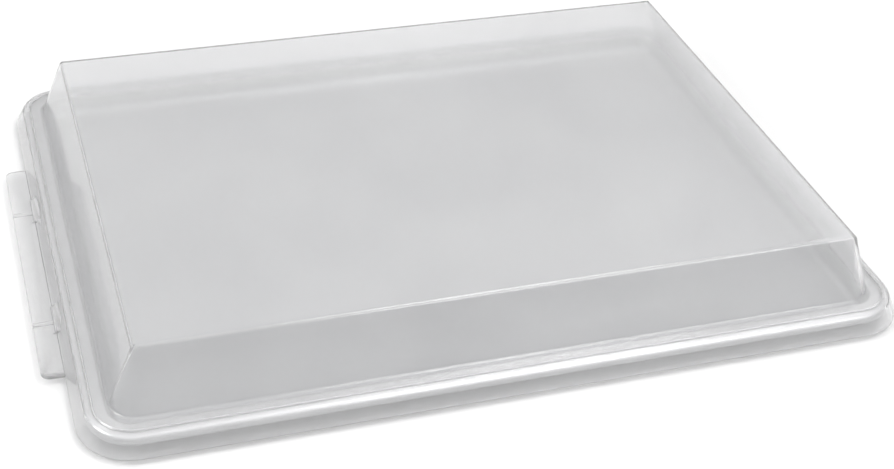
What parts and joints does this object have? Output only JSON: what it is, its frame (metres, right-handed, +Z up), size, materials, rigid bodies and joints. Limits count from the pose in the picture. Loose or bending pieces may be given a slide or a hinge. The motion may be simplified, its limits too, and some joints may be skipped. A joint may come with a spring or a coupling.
{
  "type": "covered sheet pan",
  "caption": "Shallow wired-rim aluminium sheet pan with a clear moulded cover: flat-topped dome, ledge, beaded flared skirt and one braced lift tab.",
  "frame": {"origin": "centre of the pan's underside, on the surface that the pan stands on", "axes": "+X along the length, away from the lift tab, +Y along the width, +Z up through the cover"},
  "size_m": [0.4768, 0.3376, 0.0506],
  "materials": {
    "pan_aluminium": "rolled sheet, satin",
    "wire_steel": "galvanised",
    "cover_plastic": "clear, slightly hazy, glossy"
  },
  "bodies": {
    "pan": {"pan_shell": "pan_aluminium", "rim_wire": "wire_steel"},
    "cover": {"cover": "cover_plastic"}
  },
  "joints": [
    {"name": "cover_lift", "type": "slide", "parent": "pan", "child": "cover", "axis": [0, 0, 1], "range_m": [0, 0.15]}
  ]
}
